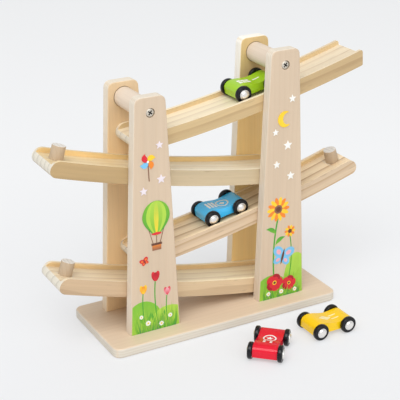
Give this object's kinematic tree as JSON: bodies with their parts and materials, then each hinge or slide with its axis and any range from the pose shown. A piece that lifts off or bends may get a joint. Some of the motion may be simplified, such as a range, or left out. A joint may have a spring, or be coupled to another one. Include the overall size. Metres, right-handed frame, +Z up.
{
  "type": "toy car ramp",
  "caption": "Wooden zig-zag car ramp toy: curved channel ramps between pairs of tapered uprights on a board, with small cars that roll down.",
  "frame": {"origin": "centre of the base board's underside", "axes": "+X along the base board towards the high end of the top ramp, +Y from the printed front uprights to the rear ones, +Z up"},
  "size_m": [0.3302, 0.1838, 0.265],
  "materials": {
    "beech": "fine sanded, clear matt",
    "pine": "fine sanded, clear matt",
    "dowel": "sanded dowel rod",
    "peg": "sanded dowel rod, end grain up",
    "screw": "zinc plated",
    "cap": "bright domed ends on a steel axle",
    "wheel": "gloss black",
    "green_paint": "gloss lime green paint on wood",
    "blue_paint": "gloss sky blue paint on wood",
    "yellow_paint": "gloss yellow paint on wood",
    "red_paint": "gloss red paint on wood"
  },
  "bodies": {
    "track": {"base_board": "beech", "left_front_upright": "beech", "left_front_screw": "screw", "left_front_foot_screw": "screw", "left_rear_upright": "beech", "left_rear_screw": "screw", "left_rear_foot_screw": "screw", "left_spacer_dowel": "dowel", "right_front_upright": "beech", "right_front_screw": "screw", "right_front_foot_screw": "screw", "right_rear_upright": "beech", "right_rear_screw": "screw", "right_rear_foot_screw": "screw", "right_spacer_dowel": "dowel", "top_ramp": "pine", "top_ramp_left_pin": "dowel", "top_ramp_right_pin": "dowel", "second_ramp": "pine", "second_ramp_left_pin": "dowel", "second_ramp_right_pin": "dowel", "second_peg": "peg", "third_ramp": "pine", "third_ramp_left_pin": "dowel", "third_ramp_right_pin": "dowel", "third_peg": "peg", "bottom_ramp": "pine", "bottom_ramp_left_pin": "dowel", "bottom_ramp_right_pin": "dowel", "bottom_peg": "peg"},
    "green_car": {"green_car_body": "green_paint"},
    "green_tail_wheelset": {"green_car_tail_axle": "cap", "green_car_tail_left_wheel": "wheel", "green_car_tail_right_wheel": "wheel"},
    "green_nose_wheelset": {"green_car_nose_axle": "cap", "green_car_nose_left_wheel": "wheel", "green_car_nose_right_wheel": "wheel"},
    "blue_car": {"blue_car_body": "blue_paint"},
    "blue_tail_wheelset": {"blue_car_tail_axle": "cap", "blue_car_tail_left_wheel": "wheel", "blue_car_tail_right_wheel": "wheel"},
    "blue_nose_wheelset": {"blue_car_nose_axle": "cap", "blue_car_nose_left_wheel": "wheel", "blue_car_nose_right_wheel": "wheel"},
    "yellow_car": {"yellow_car_body": "yellow_paint"},
    "yellow_tail_wheelset": {"yellow_car_tail_axle": "cap", "yellow_car_tail_left_wheel": "wheel", "yellow_car_tail_right_wheel": "wheel"},
    "yellow_nose_wheelset": {"yellow_car_nose_axle": "cap", "yellow_car_nose_left_wheel": "wheel", "yellow_car_nose_right_wheel": "wheel"},
    "red_car": {"red_car_body": "red_paint"},
    "red_tail_wheelset": {"red_car_tail_axle": "cap", "red_car_tail_left_wheel": "wheel", "red_car_tail_right_wheel": "wheel"},
    "red_nose_wheelset": {"red_car_nose_axle": "cap", "red_car_nose_left_wheel": "wheel", "red_car_nose_right_wheel": "wheel"}
  },
  "joints": [
    {"name": "green_car_roll", "type": "hinge", "parent": "track", "child": "green_car", "pos_m": [-0.21271, 0.0018, 1.52601], "axis": [0, 1, 0], "range_deg": [-3.93, 4.56]},
    {"name": "green_tail_spin", "type": "hinge", "parent": "green_car", "child": "green_tail_wheelset", "pos_m": [0.03391, 0.0018, 0.22213], "axis": [0, 1, 0], "continuous": true},
    {"name": "green_nose_spin", "type": "hinge", "parent": "green_car", "child": "green_nose_wheelset", "pos_m": [0.06469, 0.0018, 0.22833], "axis": [0, 1, 0], "continuous": true},
    {"name": "blue_car_roll", "type": "hinge", "parent": "track", "child": "blue_car", "pos_m": [-0.2416, 0.0018, 1.40644], "axis": [0, 1, 0], "range_deg": [-4.26, 3.11]},
    {"name": "blue_tail_spin", "type": "hinge", "parent": "blue_car", "child": "blue_tail_wheelset", "pos_m": [0.0006, 0.0018, 0.10173], "axis": [0, 1, 0], "continuous": true},
    {"name": "blue_nose_spin", "type": "hinge", "parent": "blue_car", "child": "blue_nose_wheelset", "pos_m": [0.0314, 0.0018, 0.10782], "axis": [0, 1, 0], "continuous": true},
    {"name": "yellow_car_roll", "type": "slide", "parent": "track", "child": "yellow_car", "axis": [1, 0.0052, 0], "range_m": [-0.01, 0.06]},
    {"name": "yellow_tail_spin", "type": "hinge", "parent": "yellow_car", "child": "yellow_tail_wheelset", "pos_m": [0.0628, -0.09698, 0.0082], "axis": [-0.0052, 1, 0], "continuous": true},
    {"name": "yellow_nose_spin", "type": "hinge", "parent": "yellow_car", "child": "yellow_nose_wheelset", "pos_m": [0.0942, -0.09682, 0.0082], "axis": [-0.0052, 1, 0], "continuous": true},
    {"name": "red_car_roll", "type": "slide", "parent": "track", "child": "red_car", "axis": [0.6858, 0.7278, 0], "range_m": [-0.05, 0.005]},
    {"name": "red_tail_spin", "type": "hinge", "parent": "red_car", "child": "red_tail_wheelset", "pos_m": [-0.00247, -0.11703, 0.0082], "axis": [-0.7278, 0.6858, 0], "continuous": true},
    {"name": "red_nose_spin", "type": "hinge", "parent": "red_car", "child": "red_nose_wheelset", "pos_m": [0.01907, -0.09417, 0.0082], "axis": [-0.7278, 0.6858, 0], "continuous": true}
  ],
  "couplings": [
    {"joint": "green_tail_spin", "follows": "green_car_roll", "ratio": -162.84},
    {"joint": "green_nose_spin", "follows": "green_car_roll", "ratio": -162.84},
    {"joint": "blue_tail_spin", "follows": "blue_car_roll", "ratio": -162.84},
    {"joint": "blue_nose_spin", "follows": "blue_car_roll", "ratio": -162.84},
    {"joint": "yellow_tail_spin", "follows": "yellow_car_roll", "rad_per_m": 121.95},
    {"joint": "yellow_nose_spin", "follows": "yellow_car_roll", "rad_per_m": 121.95},
    {"joint": "red_tail_spin", "follows": "red_car_roll", "rad_per_m": 121.95},
    {"joint": "red_nose_spin", "follows": "red_car_roll", "rad_per_m": 121.95}
  ]
}
